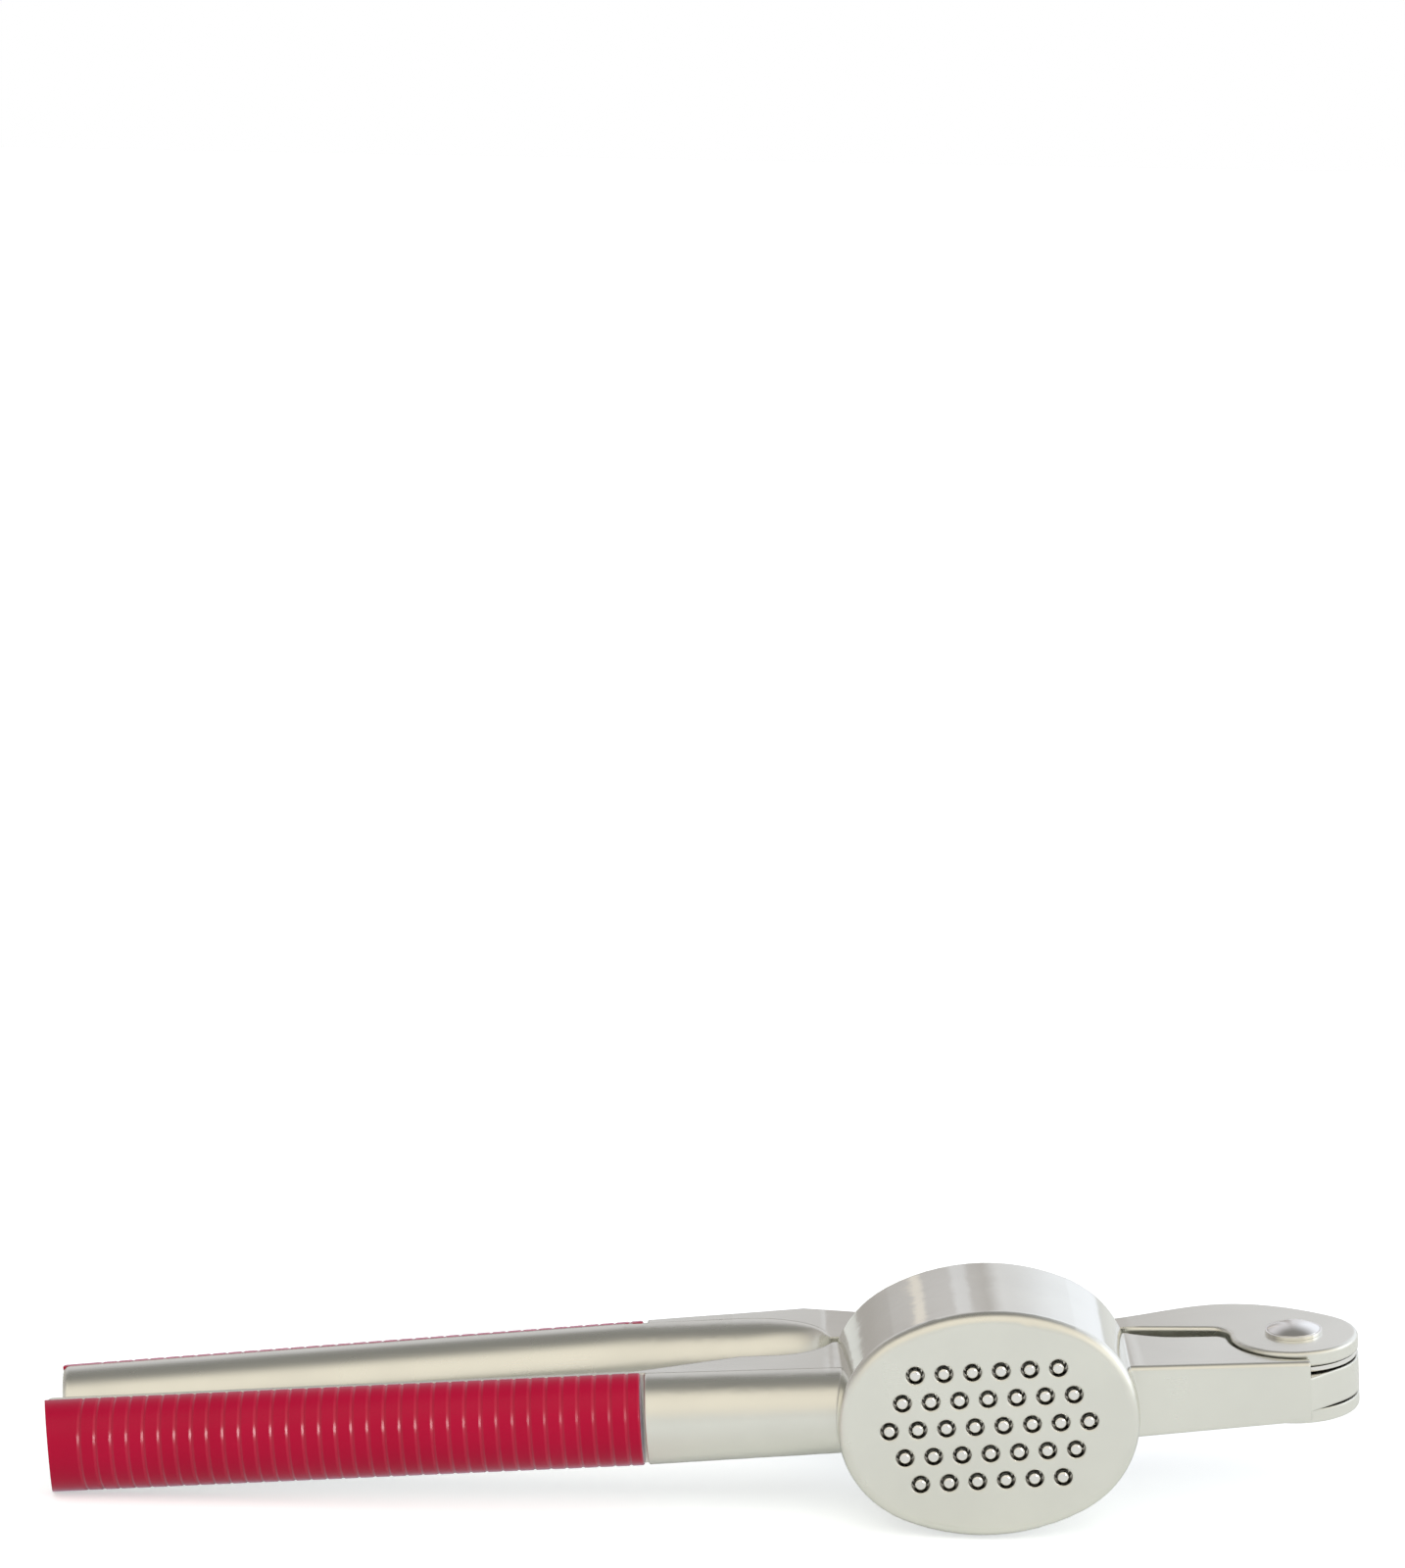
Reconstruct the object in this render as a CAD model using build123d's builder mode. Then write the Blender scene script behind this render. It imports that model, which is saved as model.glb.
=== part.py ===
"""Garlic press: two levers on one hinge, and a plunger with cleaning pins.

The origin is the middle of the sieve's outer face. +X runs to the hinge and the handles run
to -X, -Y looks out of the sieve, and +Z is the hinge axis. Sizes are in millimetres.
"""
import os
from math import atan2, cos, hypot, radians, sin, sqrt, tan

from build123d import *

# Hopper cup
hopper_length = 39.2
hopper_height = 30.4
hopper_end_radius = 13.9
hopper_depth = 20.5
hopper_outer_draft = 1.5
hopper_wall = 2.4
hopper_inner_draft = 2.5
face_rounding = 1.5
rim_rounding = 0.6
floor_rounding = 0.6

# Sieve
sieve_thickness = 2.2
hole_pitch = 3.7
hole_diameter = 2.4
hole_edge_break = 0.12
row_counts = (6, 7, 8, 7, 6)

# Hinge
hinge_x = 41.7
hinge_y = 16.6
ear_radius = 8.45
ear_thickness = 1.95
rivet_diameter = 4.4
running_clearance = 0.05
press_clearance = 0.01
tongue_top = 1.9
tongue_bottom = -2.65
pocket_clearance = 0.5
pocket_corner_rounding = 1.5

# Hopper arm
arm_front = 6.0
arm_front_drift = 0.5
arm_lip_reach = 0.8
arm_depth = 11.7
arm_height_at_cup = 9.8
arm_height_at_hinge = 8.3
arm_rounding = 0.7

# Handle bars
bar_height = 12.5
bar_depth = 11.0
handle_length = 79.8
neck_shoulder = -44.6
shoulder_rounding = 0.25
bar_end_rounding = 0.8
hopper_bar_y = 10.18
hopper_bar_angle = 1.24
plunger_bar_y = 31.07
plunger_bar_angle = 4.2
neck_flat_start = -48.0
neck_block_start = -32.0
hopper_neck_height = 11.5
gusset_run = 7.5
seam_step = 0.02

# Plunger lever
lever_height = 9.9
lever_neck_height = 11.5
lever_rim_gap = 1.6
lever_front_drop = 3.6
lever_sweep_start = -33.0
lever_sweep_end = -20.4
sweep_steps = (0.3, 0.55, 0.75, 0.9, 0.98)
sweep_seat = 1.5
sweep_shift = 0.4
lever_taper_start = -23.0
lever_flat_start = 10.0
lever_back_depth = 2.0
lever_waist = 4.4
lever_waist_x = 19.5
lever_hump_x = 33.5
lever_hump_rise = 13.4
hump_end_angle = 45.0
ear_blend = 2.8
lever_rounding = 0.5
lug_width = 6.4
lug_thickness = 5.0
lug_side_gap = 0.45

# Plunger
pivot_x = 3.0
pivot_y = 12.0
pivot_pin_diameter = 3.0
plunger_clearance = 0.9
plunger_shift = -0.3
plunger_drop = 0.15
plunger_thickness = 3.5
plunger_floor_gap = 0.6
plunger_rounding = 0.5
plunger_ear_thickness = 2.2
cleaning_pin_diameter = 1.6
cleaning_pin_recess = 0.2
cleaning_pin_rounding = 0.4

# Grips
grip_gap = 0.6
rib_pitch = 2.124
rib_free_margin = 5.2
rib_neck_margin = 1.6
rib_width = 0.6
rib_depth = 0.13
grip_end_rounding = 0.3
grip_end_slope = 10.9
rail_width = 6.0
rail_depth = 2.4
rail_clearance = 0.05
rail_margin = 3.0

# Washers and rivet ends
washer_diameter = 7.5
washer_thickness = 0.45
dome_diameter = 7.0
dome_height = 1.0
spacer_diameter = 16.4
spacer_thickness = 0.6

# Places and sizes that follow from the driving ones
half_length = hopper_length / 2
half_height = hopper_height / 2
lever_top = lever_height / 2
ear_inside = lever_top - ear_thickness
pocket_radius = ear_radius + pocket_clearance
rivet_radius = rivet_diameter / 2
lug_radius = lug_width / 2
pivot_radius = pivot_pin_diameter / 2
cut_margin = 1.0
profile_reach = 4 * hopper_depth
rim_growth = hopper_depth * tan(radians(hopper_outer_draft))
cavity_depth = hopper_depth - sieve_thickness + cut_margin
cavity_growth = cavity_depth * tan(radians(hopper_inner_draft))
inside_wall = half_length - 2 * hopper_wall
neck_reach = -neck_shoulder - inside_wall
neck_taper = (bar_height - hopper_neck_height) / 2 / (-half_length - neck_flat_start)
neck_start_height = bar_height / 2 - neck_taper * (neck_shoulder - neck_flat_start) - seam_step
neck_end_height = bar_height / 2 - neck_taper * (-inside_wall - neck_flat_start) - seam_step
sweep_half_height = lever_neck_height / 2 - seam_step
arm_back = arm_front + arm_depth
arm_lip_end = hinge_x + arm_lip_reach
pocket_corner_x = hinge_x - sqrt(pocket_radius**2 - (arm_back - hinge_y) ** 2)
hinge_end = hinge_x + 2 * ear_radius
lever_over_rim = hopper_depth + lever_rim_gap
lever_front_at_hinge = lever_over_rim - lever_front_drop
plunger_face = sieve_thickness + plunger_floor_gap
plunger_back = plunger_face + plunger_thickness
plunger_ear_inside = lug_thickness / 2 + lug_side_gap
plunger_ear_outside = plunger_ear_inside + plunger_ear_thickness
grip_length = handle_length - grip_gap
rail_length = grip_length - 2 * rail_margin
rib_count = int((grip_length - rib_free_margin - rib_neck_margin) / rib_pitch) + 1


def depth_plane(depth, shift=0.0, drop=0.0):
    """A plane across the cup, so far behind the sieve's outer face, looking out of it."""
    return Plane(origin=(shift, depth, -drop), x_dir=(1, 0, 0), z_dir=(0, -1, 0))


def oval(growth):
    """Four tangent arcs: the outline of the cup's face, grown all round by a distance."""
    length = half_length + growth
    height = half_height + growth
    end = hopper_end_radius + growth
    flank = (length**2 + height**2 - 2 * length * end) / (2 * (height - end))
    centres_apart = hypot(length - end, flank - height)
    joint_x = (length - end) * (1 + end / centres_apart)
    joint_y = end * (flank - height) / centres_apart
    with BuildSketch() as outline:
        with BuildLine():
            ThreePointArc((joint_x, -joint_y), (length, 0), (joint_x, joint_y))
            ThreePointArc((joint_x, joint_y), (0, height), (-joint_x, joint_y))
            ThreePointArc((-joint_x, joint_y), (-length, 0), (-joint_x, -joint_y))
            ThreePointArc((-joint_x, -joint_y), (0, -height), (joint_x, -joint_y))
        make_face()
    return outline.sketch


def sieve_points():
    """Hole centres: rows one pitch apart, each centred, so that they lie staggered."""
    middle_row = (len(row_counts) - 1) / 2
    points = []
    for row, count in enumerate(row_counts):
        for place in range(count):
            points.append(((place - (count - 1) / 2) * hole_pitch, (row - middle_row) * hole_pitch))
    return points


def bar_axis(shoulder_y, angle, x):
    """Y of a bar's middle line at some X."""
    return shoulder_y + (neck_shoulder - x) * tan(radians(angle))


def bar_plane(shoulder_y, angle, along, outward):
    """Section plane of a bar, so far from the neck's shoulder, with x pointing into the grip."""
    direction = Vector(-cos(radians(angle)), sin(radians(angle)), 0)
    across = Vector(direction.Y, -direction.X, 0) * outward
    return Plane(Vector(neck_shoulder, shoulder_y, 0) + direction * along, across, direction)


def hopper_bar_plane(along):
    return bar_plane(hopper_bar_y, hopper_bar_angle, along, -1)


def plunger_bar_plane(along):
    return bar_plane(plunger_bar_y, -plunger_bar_angle, along, 1)


def half_oval(outer, depth=bar_depth / 2, height=bar_height / 2):
    """The outer half of a bar's oval section, or the inner half, from its two half axes."""
    side = Align.MIN if outer else Align.MAX
    Ellipse(depth, height)
    Rectangle(2 * depth, 2 * height, align=(side, Align.CENTER), mode=Mode.INTERSECT)


def sweep_section(depth):
    """The inner half of the rear bar's section where it sweeps towards the cup, with its seat."""
    half_oval(outer=False, depth=depth, height=sweep_half_height)
    Rectangle(sweep_seat, 2 * sweep_half_height, align=(Align.MIN, Align.CENTER))


def side_profile(stations):
    """Outline in X and Z, as high above as below, through (x, half height) stations."""
    lower = [(x, -half) for x, half in reversed(stations)]
    with BuildSketch() as outline:
        with BuildLine():
            Polyline(*stations, *lower, close=True)
        make_face()
    return outline.sketch


def tangent_point(start, centre, radius):
    """Where the line from start that passes a circle on its +X side touches it."""
    run_x = centre[0] - start[0]
    run_y = centre[1] - start[1]
    length = sqrt(run_x**2 + run_y**2 - radius**2)
    heading = atan2(run_y, run_x) - atan2(radius, length)
    return (start[0] + length * cos(heading), start[1] + length * sin(heading))


def rail_section(growth):
    """Section of the rail that keys a grip to its lever."""
    Rectangle(rail_depth + growth, rail_width + 2 * growth, align=(Align.MIN, Align.CENTER))


# Inner half of the front handle bar, the neck and the block that joins them to the cup
hopper_bar_at_start = bar_axis(hopper_bar_y, hopper_bar_angle, neck_flat_start)
hopper_bar_at_block = bar_axis(hopper_bar_y, hopper_bar_angle, neck_block_start)
hopper_bar_heights = [
    (neck_shoulder - handle_length - cut_margin, bar_height / 2),
    (neck_flat_start, bar_height / 2),
    (-half_length, hopper_neck_height / 2),
    (0, hopper_neck_height / 2),
]
with BuildPart() as hopper_bar:
    with BuildSketch(hopper_bar_plane(0)):
        half_oval(outer=True, height=neck_start_height)
    with BuildSketch(hopper_bar_plane(-neck_reach)):
        half_oval(outer=True, height=neck_end_height)
    loft()
    shoulder_edge = hopper_bar.faces().sort_by(Axis.X)[0].edges().sort_by(SortBy.LENGTH)[-1]
    fillet(shoulder_edge, shoulder_rounding)
    with BuildSketch(hopper_bar_plane(handle_length)):
        half_oval(outer=False)
    extrude(amount=-(handle_length + neck_reach))
    end_edge = hopper_bar.edges().filter_by(GeomType.ELLIPSE).sort_by(Axis.X)[0]
    fillet(end_edge, bar_end_rounding)
    with BuildSketch(Plane.XY):
        with BuildLine():
            neck_back = Polyline(
                (-inside_wall, hopper_bar_y),
                (neck_flat_start, hopper_bar_at_start),
                (neck_block_start, hopper_bar_at_block + bar_depth / 2),
                (-half_length - gusset_run, hopper_bar_at_block + bar_depth / 2),
            )
            gusset = TangentArc(neck_back @ 1, (-half_length, hopper_depth - rim_rounding), tangent=(1, 0))
            Polyline(gusset @ 1, (-inside_wall, hopper_depth - rim_rounding), neck_back @ 0)
        make_face()
    extrude(amount=bar_height / 2, both=True)
    with BuildSketch(Plane.XZ):
        add(side_profile(hopper_bar_heights))
    extrude(amount=-profile_reach, mode=Mode.INTERSECT)

# Arm and hinge tongue of the front lever
lip_corner = (arm_lip_end, arm_front + arm_front_drift)
hopper_arm_heights = [
    (0, arm_height_at_cup / 2),
    (half_length, arm_height_at_cup / 2),
    (hinge_x, arm_height_at_hinge / 2),
    (hinge_end, arm_height_at_hinge / 2),
]
with BuildPart() as hopper_arm:
    with BuildSketch(Plane.XY):
        with BuildLine():
            arm_outline = Polyline(
                (inside_wall, hopper_depth - rim_rounding),
                (inside_wall, arm_front),
                lip_corner,
                tangent_point(lip_corner, (hinge_x, hinge_y), ear_radius),
                (hinge_x, hinge_y),
                (hinge_x - ear_radius, arm_back),
                (half_length + gusset_run, arm_back),
            )
            gusset = TangentArc(arm_outline @ 1, (half_length, hopper_depth - rim_rounding), tangent=(-1, 0))
            Line(gusset @ 1, arm_outline @ 0)
        make_face()
        with Locations((hinge_x, hinge_y)):
            Circle(ear_radius)
    extrude(amount=arm_height_at_cup, both=True)
    with BuildSketch(Plane.XZ):
        add(side_profile(hopper_arm_heights))
    extrude(amount=-profile_reach, mode=Mode.INTERSECT)
    front_edges = hopper_arm.faces().sort_by(Axis.Y)[0].edges().filter_by(Axis.Z, reverse=True)
    fillet(front_edges, arm_rounding)
    for floor, away in ((tongue_top, 1), (tongue_bottom, -1)):
        with BuildSketch(Plane.XY.offset(floor)):
            with Locations((hinge_x, hinge_y)):
                Circle(pocket_radius)
            with Locations((arm_lip_end, hinge_y)):
                Rectangle(hinge_end, hinge_end, align=(Align.MIN, Align.CENTER))
        extrude(amount=away * arm_height_at_cup, mode=Mode.SUBTRACT)
    pocket_corners = hopper_arm.edges().filter_by(Axis.Z).filter_by_position(
        Axis.X, pocket_corner_x - seam_step, pocket_corner_x + seam_step
    )
    fillet(pocket_corners, pocket_corner_rounding)
    with BuildSketch(Plane.XY):
        with Locations((hinge_x, hinge_y)):
            Circle(rivet_radius + running_clearance)
    extrude(amount=arm_height_at_cup, both=True, mode=Mode.SUBTRACT)

# Space inside the cup
with BuildPart() as hopper_cavity:
    with BuildSketch(depth_plane(sieve_thickness)):
        add(oval(-hopper_wall))
    with BuildSketch(depth_plane(sieve_thickness + cavity_depth)):
        add(oval(cavity_growth - hopper_wall))
    loft()
    fillet(hopper_cavity.faces().sort_by(Axis.Y)[0].edges(), floor_rounding)

# Front lever: cup, sieve, arm, neck and handle half in one casting
with BuildPart() as hopper_lever:
    with BuildSketch(depth_plane(0)):
        add(oval(0))
    with BuildSketch(depth_plane(hopper_depth)):
        add(oval(rim_growth))
    loft()
    fillet(hopper_lever.faces().sort_by(Axis.Y)[0].edges(), face_rounding)
    fillet(hopper_lever.faces().sort_by(Axis.Y)[-1].edges(), rim_rounding)
    add(hopper_bar.part)
    add(hopper_arm.part)
    add(hopper_cavity.part, mode=Mode.SUBTRACT)
    with BuildSketch(depth_plane(0)):
        with Locations(*sieve_points()):
            Circle(hole_diameter / 2)
    extrude(amount=-(sieve_thickness + cut_margin), mode=Mode.SUBTRACT)
    hole_edges = hopper_lever.faces().sort_by(Axis.Y)[0].inner_wires().edges()
    chamfer(hole_edges, hole_edge_break)
    with BuildSketch(hopper_bar_plane(grip_gap + rail_margin)):
        rail_section(0)
    extrude(amount=rail_length)

# Rear lever: fork ears, arm behind the cup, neck, handle half and the lug for the plunger
lever_back = lever_over_rim + lever_waist
plunger_bar_at_sweep = bar_axis(plunger_bar_y, -plunger_bar_angle, lever_sweep_start)
plunger_bar_at_taper = bar_axis(plunger_bar_y, -plunger_bar_angle, lever_taper_start)
lever_start = lever_sweep_start + sweep_shift
plunger_bar_at_lever = bar_axis(plunger_bar_y, -plunger_bar_angle, lever_start)
sweep_run = lever_sweep_end - lever_sweep_start
sweep_rise = plunger_bar_at_sweep - lever_over_rim
hump_turn = radians(hump_end_angle)
hump_end = (hinge_x + ear_radius * cos(hump_turn), hinge_y + ear_radius * sin(hump_turn))
plunger_lever_heights = [
    (neck_shoulder - handle_length - cut_margin, bar_height / 2),
    (neck_flat_start, bar_height / 2),
    (lever_sweep_start, lever_neck_height / 2),
    (lever_sweep_end, lever_neck_height / 2),
    (lever_flat_start, lever_top),
    (hinge_end, lever_top),
]
with BuildPart() as plunger_lever:
    with BuildSketch(plunger_bar_plane(0)):
        half_oval(outer=True)
    extrude(amount=neck_shoulder - lever_taper_start)
    shoulder_edge = plunger_lever.edges().filter_by(GeomType.ELLIPSE).sort_by(Axis.X)[0]
    fillet(shoulder_edge, shoulder_rounding)
    with BuildSketch(plunger_bar_plane(neck_shoulder - lever_taper_start)):
        half_oval(outer=True)
    with BuildSketch(Plane((lever_flat_start, lever_back - lever_back_depth, 0), (0, 1, 0), (-1, 0, 0))):
        half_oval(outer=True, depth=lever_back_depth, height=lever_top)
    loft()
    with BuildSketch(plunger_bar_plane(handle_length)):
        half_oval(outer=False)
    extrude(amount=neck_shoulder - neck_flat_start - handle_length)
    end_edge = plunger_lever.edges().filter_by(GeomType.ELLIPSE).sort_by(Axis.X)[0]
    fillet(end_edge, bar_end_rounding)
    with BuildSketch(plunger_bar_plane(neck_shoulder - neck_flat_start)):
        half_oval(outer=False)
    with BuildSketch(plunger_bar_plane(neck_shoulder - lever_sweep_start)):
        half_oval(outer=False, height=sweep_half_height)
    loft()
    with BuildSketch(plunger_bar_plane(neck_shoulder - lever_sweep_start)):
        sweep_section(bar_depth / 2)
    for step in sweep_steps:
        remaining = sqrt(1 - step**2)
        section_x = lever_sweep_start + step * sweep_run
        section_y = lever_over_rim + remaining * sweep_rise
        with BuildSketch(Plane((section_x, section_y, 0), (0, 1, 0), (-1, 0, 0))):
            sweep_section(remaining * bar_depth / 2)
    buried_end = (lever_sweep_end + 2 * sweep_shift, lever_over_rim + 2 * seam_step, 0)
    with BuildSketch(Plane(buried_end, (0, 1, 0), (-1, 0, 0))):
        sweep_section(seam_step)
    loft()
    with BuildSketch(Plane.XY) as lever_outline:
        with BuildLine():
            outer_edge = Spline(
                (lever_taper_start, plunger_bar_at_taper),
                (lever_waist_x, lever_back),
                (lever_hump_x, hinge_y + lever_hump_rise),
                hump_end,
                tangents=(
                    (lever_waist_x - lever_taper_start, lever_back - plunger_bar_at_taper),
                    (sin(hump_turn), -cos(hump_turn)),
                ),
            )
            Line((lever_start, plunger_bar_at_lever), outer_edge @ 0)
            EllipticalCenterArc(
                (lever_start, lever_over_rim),
                sweep_run,
                plunger_bar_at_lever - lever_over_rim,
                start_angle=0,
                arc_size=90,
            )
            Polyline(
                hump_end,
                (hinge_x, hinge_y),
                (hinge_x, lever_front_at_hinge),
                (half_length, lever_over_rim),
                (lever_sweep_end + sweep_shift, lever_over_rim),
            )
        make_face()
        with Locations((hinge_x, hinge_y)):
            Circle(ear_radius)
        ear_corner = lever_outline.vertices().sort_by_distance((hinge_x - ear_radius, lever_over_rim))[0]
        fillet(ear_corner, ear_blend)
    extrude(amount=bar_height / 2, both=True)
    with BuildSketch(Plane.XZ):
        add(side_profile(plunger_lever_heights))
    extrude(amount=-profile_reach, mode=Mode.INTERSECT)
    flat_faces = plunger_lever.faces().filter_by(Axis.Z).sort_by(Axis.X)[-2:]
    lever_edges = flat_faces.edges().filter_by_position(Axis.X, half_length, hinge_end)
    fillet(lever_edges, lever_rounding)
    with BuildSketch(Plane.XY):
        with Locations((pivot_x, pivot_y)):
            Circle(lug_radius)
            Rectangle(lug_width, lever_over_rim + lever_waist / 2 - pivot_y, align=(Align.CENTER, Align.MIN))
    extrude(amount=lug_thickness / 2, both=True)
    with BuildSketch(Plane.XY):
        with Locations((hinge_x, hinge_y)):
            Circle(pocket_radius)
    extrude(amount=ear_inside, both=True, mode=Mode.SUBTRACT)
    with BuildSketch(Plane.XY):
        with Locations((hinge_x, hinge_y)):
            Circle(rivet_radius + press_clearance)
        with Locations((pivot_x, pivot_y)):
            Circle(pivot_radius + running_clearance)
    extrude(amount=lever_height, both=True, mode=Mode.SUBTRACT)
    with BuildSketch(plunger_bar_plane(grip_gap + rail_margin)):
        rail_section(0)
    extrude(amount=rail_length)

# Plunger: oval plate, two ears for its pivot and one cleaning pin for each hole
with BuildPart() as plunger:
    with BuildSketch(depth_plane(plunger_face, plunger_shift, plunger_drop)):
        add(oval(-hopper_wall - plunger_clearance))
    extrude(amount=-plunger_thickness)
    fillet(plunger.faces().filter_by(Axis.Y).edges(), plunger_rounding)
    for ear_start in (plunger_ear_inside, -plunger_ear_outside):
        with BuildSketch(Plane.XY.offset(ear_start - plunger_drop)):
            with Locations((pivot_x, pivot_y)):
                Circle(lug_radius)
                Rectangle(lug_width, pivot_y - plunger_back + plunger_rounding, align=(Align.CENTER, Align.MAX))
        extrude(amount=plunger_ear_thickness)
    with BuildSketch(Plane.XY.offset(-plunger_drop)):
        with Locations((pivot_x, pivot_y)):
            Circle(pivot_radius + press_clearance)
    extrude(amount=plunger_ear_outside, both=True, mode=Mode.SUBTRACT)
    with BuildSketch(depth_plane(plunger_face, 0, plunger_drop)):
        with Locations(*sieve_points()):
            Circle(cleaning_pin_diameter / 2)
    extrude(amount=plunger_face - cleaning_pin_recess)
    pin_ends = plunger.faces().filter_by(Axis.Y).group_by(Axis.Y)[0]
    fillet(pin_ends.edges(), cleaning_pin_rounding)

with BuildPart() as plunger_pin:
    with BuildSketch(Plane.XY.offset(-plunger_drop)):
        with Locations((pivot_x, pivot_y)):
            Circle(pivot_radius)
    extrude(amount=plunger_ear_outside, both=True)

# Cutter for one shallow V groove round the outer half of a bar
with BuildPart() as rib_cutter:
    with BuildSketch(Plane.XY):
        Rectangle(2 * bar_depth, 2 * bar_height)
    extrude(amount=rib_width, both=True)
    for place, growth in ((-rib_width, rib_depth), (0, -rib_depth), (rib_width, rib_depth)):
        with BuildSketch(Plane.XY.offset(place)):
            Ellipse(bar_depth / 2 + growth, bar_height / 2 + growth)
    loft(ruled=True, mode=Mode.SUBTRACT)


def build_grip(plane_at):
    """Half-round grip with a slanted free end, grooves across it and a channel for the rail."""
    rib_places = [handle_length - rib_free_margin - rib * rib_pitch for rib in range(rib_count)]
    free_end = plane_at(handle_length)
    with BuildPart() as grip:
        with BuildSketch(plane_at(grip_gap)):
            half_oval(outer=True)
        extrude(amount=grip_length)
        with BuildSketch(Plane(free_end.origin, free_end.x_dir, free_end.y_dir)):
            with BuildLine():
                Polyline(
                    (0, 0),
                    (bar_depth, 0),
                    (bar_depth, bar_depth * tan(radians(grip_end_slope))),
                    close=True,
                )
            make_face()
        extrude(amount=bar_height, both=True, mode=Mode.SUBTRACT)
        end_edges = grip.edges().filter_by(GeomType.ELLIPSE)
        fillet(end_edges, grip_end_rounding)
        with Locations(*[plane_at(place).location for place in rib_places]):
            add(rib_cutter.part, mode=Mode.SUBTRACT)
        with BuildSketch(plane_at(grip_gap + rail_margin - rail_clearance)):
            rail_section(rail_clearance)
        extrude(amount=rail_length + 2 * rail_clearance, mode=Mode.SUBTRACT)
    return grip


def build_washer(diameter, thickness, bottom, clearance):
    """Flat washer round the rivet."""
    with BuildPart() as washer:
        with BuildSketch(Plane.XY.offset(bottom)):
            with Locations((hinge_x, hinge_y)):
                Circle(diameter / 2)
                Circle(rivet_radius + clearance, mode=Mode.SUBTRACT)
        extrude(amount=thickness)
    return washer


hopper_grip = build_grip(hopper_bar_plane)
plunger_grip = build_grip(plunger_bar_plane)
rivet_head_washer = build_washer(washer_diameter, washer_thickness, lever_top, press_clearance)
rivet_tail_washer = build_washer(
    washer_diameter, washer_thickness, -lever_top - washer_thickness, press_clearance
)
spacer_bottom = (tongue_top + ear_inside - spacer_thickness) / 2
hinge_spacer_washer = build_washer(
    spacer_diameter, spacer_thickness, spacer_bottom, running_clearance
)

# Rivet: shank with a domed head at each end, outside the washers
shank_end = lever_top + washer_thickness
dome_edge = dome_diameter / 2
dome_radius = (dome_edge**2 + dome_height**2) / (2 * dome_height)
with BuildPart() as hinge_rivet:
    with BuildSketch(Plane((hinge_x, hinge_y, 0), (1, 0, 0), (0, -1, 0))):
        with BuildLine():
            head = RadiusArc((0, shank_end + dome_height), (dome_edge, shank_end), dome_radius)
            tail = RadiusArc((dome_edge, -shank_end), (0, -shank_end - dome_height), dome_radius)
            Polyline(
                head @ 1,
                (rivet_radius, shank_end),
                (rivet_radius, -shank_end),
                tail @ 0,
            )
            Line(tail @ 1, head @ 0)
        make_face()
    revolve(axis=Axis((hinge_x, hinge_y, 0), (0, 0, 1)))

pieces = {
    "hopper_lever": hopper_lever,
    "plunger_lever": plunger_lever,
    "plunger": plunger,
    "plunger_pin": plunger_pin,
    "hinge_rivet": hinge_rivet,
    "rivet_head_washer": rivet_head_washer,
    "rivet_tail_washer": rivet_tail_washer,
    "hinge_spacer_washer": hinge_spacer_washer,
    "hopper_grip": hopper_grip,
    "plunger_grip": plunger_grip,
}
os.makedirs("parts", exist_ok=True)
for node, piece in pieces.items():
    piece.part.label = node
    export_step(piece.part, f"parts/{node}.step")
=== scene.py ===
# %% [markdown]
# # A garlic press in satin nickel and crimson plastic
#
# The press stands on its edge, closed, as it would on a photographer's white table. Its solids come
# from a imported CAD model, in metres, and this file gives them their finishes, their light and a camera.
# Loading them first means that every later step can measure the real pieces instead of guessing.

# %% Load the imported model
from math import cos, radians, sin

import bpy
from mathutils import Matrix, Vector


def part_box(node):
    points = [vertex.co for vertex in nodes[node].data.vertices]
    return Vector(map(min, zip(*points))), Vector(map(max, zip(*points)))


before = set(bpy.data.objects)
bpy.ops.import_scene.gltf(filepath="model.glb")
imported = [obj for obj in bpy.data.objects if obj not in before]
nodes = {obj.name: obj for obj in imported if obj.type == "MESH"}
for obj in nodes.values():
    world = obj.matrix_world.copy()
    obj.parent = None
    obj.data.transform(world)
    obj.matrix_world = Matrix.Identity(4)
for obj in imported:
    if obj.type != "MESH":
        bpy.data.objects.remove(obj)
scene = bpy.context.scene
scene.view_settings.view_transform = "Standard"
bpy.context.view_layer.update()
for name, node in sorted(nodes.items()):
    print(name, len(node.data.polygons), "faces")

# %% [markdown]
# ## Camera
#
# The photograph was taken from a little above the table, with a long lens and the camera turned a few
# degrees about its own axis. Those angles were found by fitting the sieve's grid of holes, so they are
# written here as they are. The matrix is built from three directions, because a tilt about the lens is
# easy to get wrong with Euler angles.

# %% Camera
azimuth, elevation, roll = radians(1.177), radians(10.66), radians(-3.415)
camera_place = Vector((-0.022193, -0.482912, 0.177471))
back = Vector((sin(azimuth) * cos(elevation), -cos(azimuth) * cos(elevation), sin(elevation)))
level_right = (-back).cross(Vector((0, 0, 1))).normalized()
level_up = level_right.cross(-back)
right = cos(roll) * level_right + sin(roll) * level_up
up = cos(roll) * level_up - sin(roll) * level_right

camera = bpy.data.objects.new("camera", bpy.data.cameras.new("camera"))
camera.data.sensor_width = 24
camera.data.lens = 60
camera.data.clip_start = 0.01
camera.data.clip_end = 50
turn = Matrix((right, up, back)).transposed().to_4x4()
camera.matrix_world = Matrix.Translation(camera_place) @ turn
scene.collection.objects.link(camera)
scene.camera = camera
print("camera stands", round(camera_place.length, 3), "m from the sieve")

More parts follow.
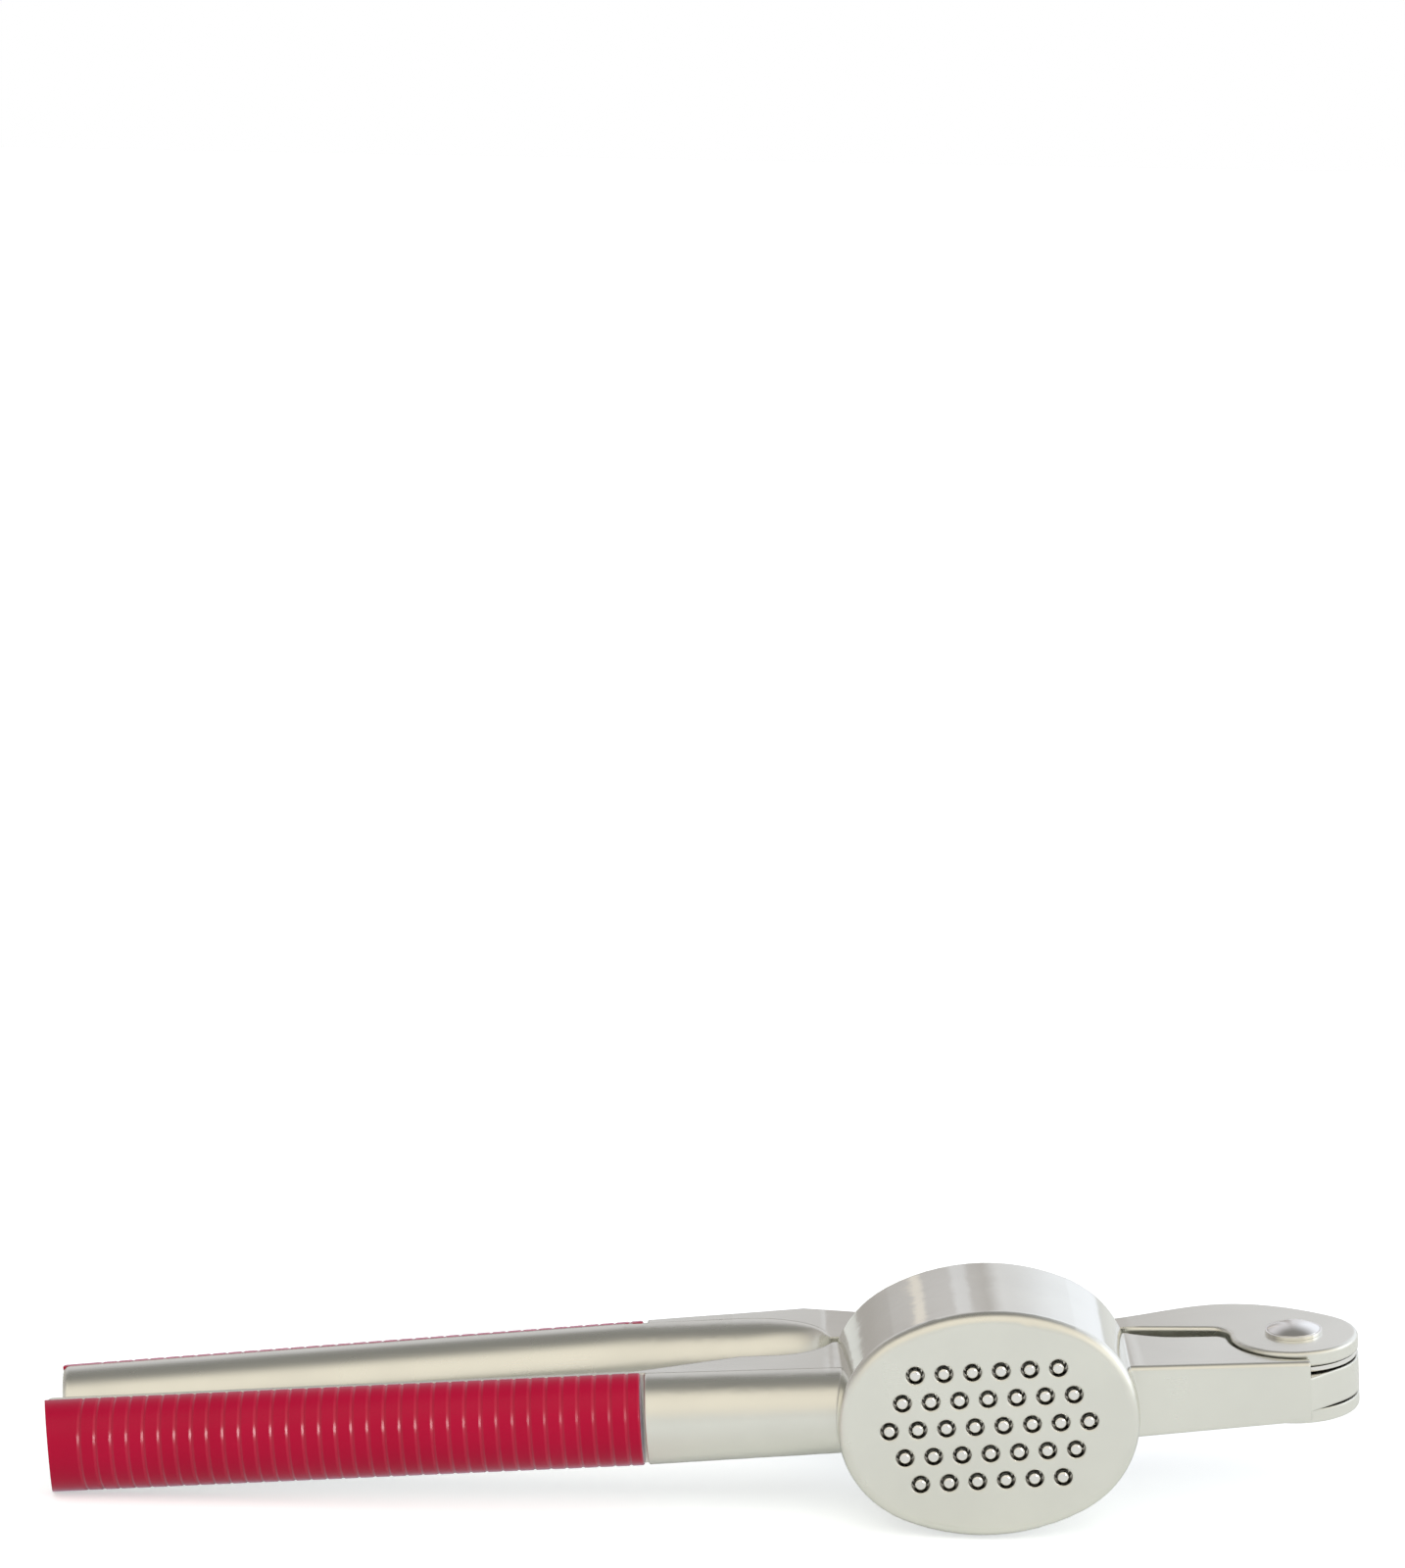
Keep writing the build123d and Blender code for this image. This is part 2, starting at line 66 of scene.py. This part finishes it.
# %% [markdown]
# ## Table
#
# The press touches the table with the lower edge of its cup and with the far ends of its handles. The
# cup is taller than the handles, so the table slopes a few degrees against the hinge axis. A plain plane
# through those two places is enough: it is far larger than the view, so that no edge of it shows.

# %% Table top
cup_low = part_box("hopper_lever")[0].z
handle_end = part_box("hopper_grip")[0]
slope = (handle_end.z - cup_low) / handle_end.x
reach = 6.0
clearance = 0.0001
signs = ((-1, -1), (1, -1), (1, 1), (-1, 1))
corners = [(x * reach, y * reach, cup_low + slope * x * reach - clearance) for x, y in signs]
table_mesh = bpy.data.meshes.new("table")
table_mesh.from_pydata(corners, [], [(0, 1, 2, 3)])
table = bpy.data.objects.new("table", table_mesh)
scene.collection.objects.link(table)
print("table slope", round(slope, 4))

# %% [markdown]
# ## Small helpers for shader trees
#
# Procedural finishes are built from many nodes, and a few short functions keep that readable. They add a node
# and set its inputs, start a material with a Principled shader that is already wired up, do sums, fade softly
# between two values and mix two colours. A Mix node holds sockets for several kinds of data, so its pair of
# colours is found by number.


# %% Node helpers
def add_node(tree, kind, inputs=None, **settings):
    node = tree.nodes.new(kind)
    for key, value in settings.items():
        setattr(node, key, value)
    for key, value in (inputs or {}).items():
        if isinstance(value, bpy.types.NodeSocket):
            tree.links.new(value, node.inputs[key])
        else:
            node.inputs[key].default_value = value
    return node


def start_material(name):
    material = bpy.data.materials.new(name)
    material.use_nodes = True
    tree = material.node_tree
    tree.nodes.clear()
    shader = add_node(tree, "ShaderNodeBsdfPrincipled")
    add_node(tree, "ShaderNodeOutputMaterial", {"Surface": shader.outputs["BSDF"]})
    place = add_node(tree, "ShaderNodeTexCoord")
    return material, tree, shader, place


def math_node(tree, operation, first, second=0.0, clamp=False):
    node = add_node(tree, "ShaderNodeMath", {0: first, 1: second}, operation=operation, use_clamp=clamp)
    return node.outputs[0]


def scale_add(tree, value, factor, offset):
    node = add_node(tree, "ShaderNodeMath", {0: value, 1: factor, 2: offset}, operation="MULTIPLY_ADD")
    return node.outputs[0]


def fade(tree, value, start, end, low=0.0, high=1.0):
    node = add_node(
        tree,
        "ShaderNodeMapRange",
        {"Value": value, "From Min": start, "From Max": end, "To Min": low, "To Max": high},
        interpolation_type="SMOOTHSTEP",
    )
    return node.outputs["Result"]


def mix_colours(tree, factor, first, second, blend="MIX"):
    sockets = {"Factor": factor, 6: first, 7: second}
    return add_node(tree, "ShaderNodeMix", sockets, data_type="RGBA", blend_type=blend).outputs[2]


# %% [markdown]
# ## White table finish
#
# The photograph's ground is pure white. A white paint alone renders slightly grey, so camera rays also see
# a glow, and the metal's mirror rays see a fainter one. Close to the press the glow is even, which leaves
# the soft shadow on the table. It grows with the distance, because the lamp reaches less far than the table.

# %% Table finish
white, tree, shader, place = start_material("white_table")
shader.inputs["Base Color"].default_value = (0.81, 0.845, 0.86, 1)
table.data.materials.append(white)
spot = place.outputs["Object"]
speckle = add_node(tree, "ShaderNodeTexNoise", {"Vector": spot, "Scale": 900.0, "Detail": 3.0})
smoothest, roughest = 0.8, 0.95
matt = fade(tree, speckle.outputs["Fac"], 0.3, 0.7, smoothest, roughest)
tree.links.new(matt, shader.inputs["Roughness"])
print(white.name, "with a roughness of", smoothest, "to", roughest)

# %% Table glow
mirror_glow, near_glow, far_glow = 0.09, 0.52, 0.85
near, far = 0.2, 1.6
rays = add_node(tree, "ShaderNodeLightPath")
mirrored = math_node(
    tree, "ADD", rays.outputs["Is Glossy Ray"], rays.outputs["Is Transmission Ray"], clamp=True
)
mirrored = math_node(tree, "MULTIPLY", mirrored, mirror_glow)
away = add_node(tree, "ShaderNodeVectorMath", {0: spot}, operation="LENGTH")
seen = fade(tree, away.outputs["Value"], near, far, near_glow, far_glow)
glow = scale_add(tree, rays.outputs["Is Camera Ray"], seen, mirrored)
shader.inputs["Emission Color"].default_value = (0.97, 0.98, 1.0, 1)
tree.links.new(glow, shader.inputs["Emission Strength"])
print("table glow from", near_glow, "to", far_glow)

# %% [markdown]
# ## Light tent
#
# Satin metal shows its surroundings, so most of the light is a tent rather than lamps. The world draws it
# by direction: a dim ceiling, a warm wall in front, a paler band near the horizon, and a wall behind that
# runs from taupe at the left to a cool white at the right. Each is a band: a product of soft steps in
# heading and in height, both in degrees.

# %% Light tent
world = bpy.data.worlds.new("light_tent")
scene.world = world
world.use_nodes = True
sky = world.node_tree
sky.nodes.clear()
outward = add_node(sky, "ShaderNodeTexCoord").outputs["Generated"]
direction = add_node(sky, "ShaderNodeSeparateXYZ", {0: outward})
toward_x, toward_y, toward_z = direction.outputs
from_front = math_node(sky, "ARCTAN2", toward_x, math_node(sky, "MULTIPLY", toward_y, -1.0))
from_back = math_node(sky, "ARCTAN2", toward_x, toward_y)
height = math_node(sky, "ARCSINE", toward_z)


def soft_band(value, low, high, soft):
    rise = fade(sky, value, radians(low - soft), radians(low + soft))
    fall = fade(sky, value, radians(high + soft), radians(high - soft))
    return math_node(sky, "MULTIPLY", rise, fall)


def add_band(total, heading, sides, side_soft, heights, height_soft, colour):
    across = soft_band(heading, *sides, side_soft)
    mask = math_node(sky, "MULTIPLY", across, soft_band(height, *heights, height_soft))
    return mix_colours(sky, mask, total, (*colour, 1), "ADD")


print("headings are measured from the front and from the back, in", world.name)

# %% [markdown]
# ## Walls of the tent
#
# The walls could be planes round the table, but then other views would show them. In the world they are
# seen by mirror rays and cast light, while camera rays find plain white. Two narrow upright bands behind
# give the polished wall of the cup its streaks. A row holds the heading, its limits and their softness,
# the limits of the height and their softness, and the colour that the band adds.

# %% Walls of the tent
walls = [
    # Pale band near the horizon in front, warm wall above it, brighter part at the right
    (from_front, (-100, 100), 30, (-20, 16), 10, (0.50, 0.51, 0.51)),
    (from_front, (-70, 80), 30, (16, 72), 14, (0.76, 0.70, 0.60)),
    (from_front, (40, 110), 20, (-10, 30), 10, (0.40, 0.40, 0.38)),
    # Wall behind, from taupe at the left to cool white at the right
    (from_back, (-100, 100), 25, (-20, 48), 20, (0.22, 0.20, 0.20)),
    (from_back, (-40, 4), 8, (18, 52), 14, (0.28, 0.29, 0.33)),
    (from_back, (5.5, 100), 2, (-20, 46), 22, (0.30, 0.32, 0.36)),
    (from_back, (14, 100), 8, (-30, 46), 22, (0.28, 0.32, 0.38)),
    # Upright streaks, one cool and one cream
    (from_back, (-3.2, 0.4), 0.8, (-20, 24), 14, (0.20, 0.22, 0.25)),
    (from_back, (-11.4, -9.4), 0.6, (-20, 24), 14, (0.32, 0.28, 0.21)),
]
ceiling = (0.25, 0.245, 0.235, 1)
light = ceiling
for wall in walls:
    light = add_band(light, *wall)
sight = add_node(sky, "ShaderNodeLightPath")
plain_white = (1, 1, 1, 1)
shown = mix_colours(sky, sight.outputs["Is Camera Ray"], light, plain_white)
tent_shader = add_node(sky, "ShaderNodeBackground", {"Color": shown})
add_node(sky, "ShaderNodeOutputWorld", {"Surface": tent_shader.outputs[0]})
print("light tent of", len(walls), "bands")

# %% [markdown]
# ## Lamps
#
# Two lamps finish the light. A wide one above the table lights the matt surfaces, and it is hidden from
# mirror rays so that the ceiling stays dark in the metal. A small one at the right draws the glints on the
# grooves of the grips and on the tips of the cleaning pins. It is linked to those pieces alone, because it
# would burn a white spot into the polished rivet.


# %% Overhead lamp
def add_lamp(name, place, aim, width, depth, watts, colour):
    lamp = bpy.data.objects.new(name, bpy.data.lights.new(name, "AREA"))
    lamp.data.shape = "RECTANGLE"
    lamp.data.size = width
    lamp.data.size_y = depth
    lamp.data.energy = watts
    lamp.data.color = colour
    lamp.location = place
    lamp.rotation_mode = "QUATERNION"
    lamp.rotation_quaternion = (Vector(aim) - lamp.location).to_track_quat("-Z", "Y")
    scene.collection.objects.link(lamp)
    return lamp


press_middle = (-0.03, 0.01, 0.0)
overhead = add_lamp(
    "overhead_panel",
    place=(0.0, -0.55, 1.0),
    aim=press_middle,
    width=1.2,
    depth=1.0,
    watts=3.9,
    colour=(1.0, 0.99, 0.97),
)
overhead.visible_glossy = False
print(overhead.name, round(overhead.data.energy, 2), "W")

# %% Glint lamp
grip_middle = (-0.08, 0.01, 0.0)
glint = add_lamp(
    "glint_panel",
    place=(0.40, -0.62, 0.22),
    aim=grip_middle,
    width=0.08,
    depth=0.24,
    watts=2.1,
    colour=(1.0, 0.97, 0.95),
)
glinting = bpy.data.collections.new("glint_receivers")
for name in ("hopper_grip", "plunger_grip", "plunger"):
    glinting.objects.link(nodes[name])
glint.light_linking.receiver_collection = glinting

# %% [markdown]
# ## Shared surface effects
#
# Four effects appear on more than one finish, so each is a node group with named sockets. Cast grain is
# the faint orange peel that plating leaves on a casting. Handling marks are hairline scratches and finger
# smudges. Soft edges rounds the shading of sharp corners by a fraction of a millimetre, which gives the
# thin bright line that light draws along every real edge. Painted crevice shade darkens the colour in the
# narrow places, such as the seam beside a grip and the ring round a cleaning pin, where shade falls.


# %% Group builder
def start_group(name, inputs, outputs):
    group = bpy.data.node_groups.new(name, "ShaderNodeTree")
    for label, kind, value in inputs:
        socket = group.interface.new_socket(label, in_out="INPUT", socket_type=kind)
        if value is not None:
            socket.default_value = value
    for label, kind in outputs:
        group.interface.new_socket(label, in_out="OUTPUT", socket_type=kind)
    print("group", name, "gives", ", ".join(label for label, kind in outputs))
    return group, group.nodes.new("NodeGroupInput").outputs, group.nodes.new("NodeGroupOutput").inputs


def use_group(tree, group, inputs):
    return add_node(tree, "ShaderNodeGroup", inputs, node_tree=group)


# %% Cast grain group
cast_grain, given, result = start_group(
    "cast_grain",
    [
        ("Place", "NodeSocketVector", None),
        ("Fine Scale", "NodeSocketFloat", 1800.0),
        ("Broad Scale", "NodeSocketFloat", 90.0),
    ],
    [("Height", "NodeSocketFloat"), ("Patches", "NodeSocketFloat")],
)
fine = add_node(
    cast_grain,
    "ShaderNodeTexNoise",
    {"Vector": given["Place"], "Scale": given["Fine Scale"], "Detail": 2.0, "Roughness": 0.6},
)
broad = add_node(
    cast_grain,
    "ShaderNodeTexNoise",
    {"Vector": given["Place"], "Scale": given["Broad Scale"], "Detail": 3.0, "Roughness": 0.5},
)
cast_grain.links.new(fine.outputs["Fac"], result["Height"])
cast_grain.links.new(fade(cast_grain, broad.outputs["Fac"], 0.3, 0.7), result["Patches"])

# %% Handling marks group
handling_marks, given, result = start_group(
    "handling_marks",
    [("Place", "NodeSocketVector", None), ("Scratch Scale", "NodeSocketFloat", 2200.0)],
    [("Scratches", "NodeSocketFloat"), ("Smudges", "NodeSocketFloat")],
)
along_handle = (0.02, 1.0, 1.0)
stretched = add_node(
    handling_marks, "ShaderNodeMapping", {"Vector": given["Place"], "Scale": along_handle}
)
hairs = add_node(
    handling_marks,
    "ShaderNodeTexNoise",
    {"Vector": stretched.outputs[0], "Scale": given["Scratch Scale"], "Detail": 1.0, "Roughness": 0.5},
)
smudge = add_node(
    handling_marks,
    "ShaderNodeTexNoise",
    {"Vector": given["Place"], "Scale": 55.0, "Detail": 4.0, "Distortion": 1.2},
)
handling_marks.links.new(fade(handling_marks, hairs.outputs["Fac"], 0.60, 0.80), result["Scratches"])
handling_marks.links.new(fade(handling_marks, smudge.outputs["Fac"], 0.45, 0.7), result["Smudges"])

# %% Soft edges group
soft_edges, given, result = start_group(
    "soft_edges",
    [
        ("Height", "NodeSocketFloat", 0.5),
        ("Depth", "NodeSocketFloat", 0.00001),
        ("Edge Radius", "NodeSocketFloat", 0.0002),
    ],
    [("Normal", "NodeSocketVector")],
)
rounded = add_node(soft_edges, "ShaderNodeBevel", {"Radius": given["Edge Radius"]}, samples=6)
relief = add_node(
    soft_edges,
    "ShaderNodeBump",
    {"Strength": 1.0, "Distance": given["Depth"], "Height": given["Height"], "Normal": rounded.outputs[0]},
)
soft_edges.links.new(relief.outputs[0], result["Normal"])

# %% Painted crevice shade group
painted_crevice_shade, given, result = start_group(
    "painted_crevice_shade",
    [("Unshaded", "NodeSocketColor", (0.8, 0.8, 0.75, 1)), ("Reach", "NodeSocketFloat", 0.0007)],
    [("Color", "NodeSocketColor")],
)
# Painted shade: an occlusion test turns the colour dark brown where other surfaces are close, in seams, slots
# and holes
nearby = add_node(painted_crevice_shade, "ShaderNodeAmbientOcclusion", {"Distance": given["Reach"]}, samples=16)
closed, open_enough = 0.06, 0.52
opening = fade(painted_crevice_shade, nearby.outputs["AO"], closed, open_enough)
painted_shade_colour = (0.27, 0.23, 0.20, 1)
painted_crevice_shade.links.new(mix_colours(painted_crevice_shade, opening, painted_shade_colour, given["Unshaded"]), result["Color"])

# %% [markdown]
# ## Satin nickel
#
# The two levers are castings with a warm, satin nickel plating. The fronts are brushed to a fine matt, the
# flat sides are smoother, and the wall of the cup is nearly polished, as a buffing wheel leaves it. Three
# materials would meet in hard lines, so one does all of it: it reads which way the surface looks, and
# blends between them.

# %% Satin nickel places
satin, tree, shader, place = start_material("satin_nickel")
shader.inputs["Metallic"].default_value = 1.0
spot = place.outputs["Object"]
grain = use_group(tree, cast_grain, {"Place": spot})
marks = use_group(tree, handling_marks, {"Place": spot})
facing = add_node(tree, "ShaderNodeSeparateXYZ", {0: place.outputs["Normal"]})
position = add_node(tree, "ShaderNodeSeparateXYZ", {0: spot})
flat_side = fade(tree, math_node(tree, "ABSOLUTE", facing.outputs["Z"]), 0.90, 0.99)
sideways = fade(tree, math_node(tree, "ABSOLUTE", facing.outputs["Y"]), 0.45, 0.15)
cup_end, cup_end_fade = 0.0212, 0.0200
near_cup = fade(tree, math_node(tree, "ABSOLUTE", position.outputs["X"]), cup_end, cup_end_fade)
cup_wall = math_node(tree, "MULTIPLY", sideways, near_cup)
print("cup wall ends", cup_end, "m from the middle of the sieve")

# %% [markdown]
# ## Satin nickel roughness, colour and relief
#
# Each place takes something off the roughness of the brushed fronts, and patches and scratches add a little.
# The relief is the cast grain. On the cup's wall broad, shallow waves join it, which the wheel leaves too,
# and they make the streaks in the wall wander.

# %% Satin nickel roughness, colour and relief
brushed, flat_polish, wall_polish, patchy, scuffed = 0.27, -0.06, -0.18, 0.035, 0.05
roughness = scale_add(tree, flat_side, flat_polish, brushed)
roughness = scale_add(tree, cup_wall, wall_polish, roughness)
roughness = scale_add(tree, grain.outputs["Patches"], patchy, roughness)
roughness = scale_add(tree, marks.outputs["Scratches"], scuffed, roughness)
tree.links.new(roughness, shader.inputs["Roughness"])
bright_nickel, dull_nickel = (0.80, 0.80, 0.735, 1), (0.77, 0.77, 0.71, 1)
tint = mix_colours(tree, grain.outputs["Patches"], bright_nickel, dull_nickel)
# Painted shade: the tint darkens in seams and narrow gaps, where shade falls
tint_with_painted_shade = use_group(tree, painted_crevice_shade, {"Unshaded": tint})
tree.links.new(tint_with_painted_shade.outputs["Color"], shader.inputs["Base Color"])
wave_height = 14.0
wave_place = math_node(tree, "MULTIPLY", cup_wall, wave_height)
waves = math_node(tree, "MULTIPLY", grain.outputs["Patches"], wave_place)
relief = math_node(tree, "ADD", grain.outputs["Height"], waves)
edges = use_group(tree, soft_edges, {"Height": relief, "Depth": 0.0000022, "Edge Radius": 0.0004})
tree.links.new(edges.outputs["Normal"], shader.inputs["Normal"])
print(satin.name, "with", len(tree.nodes), "nodes")

# %% [markdown]
# ## Polished nickel
#
# The rivet, its washers, the plunger and the plunger's pin are polished. The finish is the same metal with a
# low roughness and more visible hairlines, so it uses the same groups with other values.

# %% Polished nickel
polished, tree, shader, place = start_material("polished_nickel")
shader.inputs["Metallic"].default_value = 1.0
spot = place.outputs["Object"]
grain = use_group(tree, cast_grain, {"Place": spot, "Fine Scale": 2600.0})
marks = use_group(tree, handling_marks, {"Place": spot, "Scratch Scale": 3000.0})
buffed, scuffed = 0.13, 0.07
shine = scale_add(tree, marks.outputs["Scratches"], scuffed, buffed)
tree.links.new(shine, shader.inputs["Roughness"])
bright_nickel, dull_nickel = (0.84, 0.83, 0.80, 1), (0.80, 0.79, 0.76, 1)
tint = mix_colours(tree, grain.outputs["Patches"], bright_nickel, dull_nickel)
# Painted shade: the tint darkens in the narrow gaps round rivet, washers and pins, where shade falls
tint_with_painted_shade = use_group(tree, painted_crevice_shade, {"Unshaded": tint, "Reach": 0.0005})
tree.links.new(tint_with_painted_shade.outputs["Color"], shader.inputs["Base Color"])
edges = use_group(
    tree, soft_edges, {"Height": grain.outputs["Height"], "Depth": 0.000002, "Edge Radius": 0.00012}
)
tree.links.new(edges.outputs["Normal"], shader.inputs["Normal"])
print(polished.name, "with", len(tree.nodes), "nodes")

# %% [markdown]
# ## Crimson plastic
#
# The grips are moulded in a slightly glossy crimson plastic. Its colour drifts a little, as pigment does in
# a mould, and a very fine texture spreads the highlight. A strong gloss would turn the red milky under this
# light, so the specular level is low, and a sheen makes the edges paler, where they are seen at a low angle.

# %% Crimson plastic
crimson, tree, shader, place = start_material("crimson_plastic")
shader.inputs["IOR"].default_value = 1.5
shader.inputs["Specular IOR Level"].default_value = 0.10
shader.inputs["Sheen Weight"].default_value = 0.65
shader.inputs["Sheen Roughness"].default_value = 0.35
shader.inputs["Sheen Tint"].default_value = (0.84, 0.78, 1.0, 1)
spot = place.outputs["Object"]
grain = use_group(tree, cast_grain, {"Place": spot, "Fine Scale": 2200.0, "Broad Scale": 60.0})
marks = use_group(tree, handling_marks, {"Place": spot})
bright_crimson, deep_crimson = (0.37, 0.003, 0.032, 1), (0.345, 0.0025, 0.028, 1)
tint = mix_colours(tree, grain.outputs["Patches"], bright_crimson, deep_crimson)
tree.links.new(tint, shader.inputs["Base Color"])
moulded, smudged = 0.28, 0.06
gloss = scale_add(tree, marks.outputs["Smudges"], smudged, moulded)
tree.links.new(gloss, shader.inputs["Roughness"])
edges = use_group(
    tree, soft_edges, {"Height": grain.outputs["Height"], "Depth": 0.000006, "Edge Radius": 0.00015}
)
tree.links.new(edges.outputs["Normal"], shader.inputs["Normal"])
print(crimson.name, "with a roughness from", moulded)

# %% [markdown]
# ## Shiny grooves
#
# The grooves across the grips came out of the mould shinier. Their walls lean along the handle, and that lean
# alone is enough to find them, so the coat that makes them glint needs no second copy of their spacing.

# %% Shiny grooves
shape = add_node(tree, "ShaderNodeNewGeometry")
lean = add_node(tree, "ShaderNodeSeparateXYZ", {0: shape.outputs["True Normal"]})
least_lean, full_lean, coat = 0.16, 0.30, 0.45
groove = fade(tree, math_node(tree, "ABSOLUTE", lean.outputs["X"]), least_lean, full_lean, 0.0, coat)
tree.links.new(groove, shader.inputs["Coat Weight"])
shader.inputs["Coat Roughness"].default_value = 0.22
print(crimson.name, "with", len(tree.nodes), "nodes")

# %% [markdown]
# ## Dressing the pieces
#
# Each CAD node keeps its shape and takes one finish. The list is by finish, so that a reader can see at a
# glance what the press is made of.

# %% Dress the pieces
finishes = {
    satin: ["hopper_lever", "plunger_lever"],
    polished: [
        "plunger",
        "plunger_pin",
        "hinge_rivet",
        "rivet_head_washer",
        "rivet_tail_washer",
        "hinge_spacer_washer",
    ],
    crimson: ["hopper_grip", "plunger_grip"],
}
for material, names in finishes.items():
    for name in names:
        nodes[name].data.materials.clear()
        nodes[name].data.materials.append(material)
    print(material.name, "on", ", ".join(names))
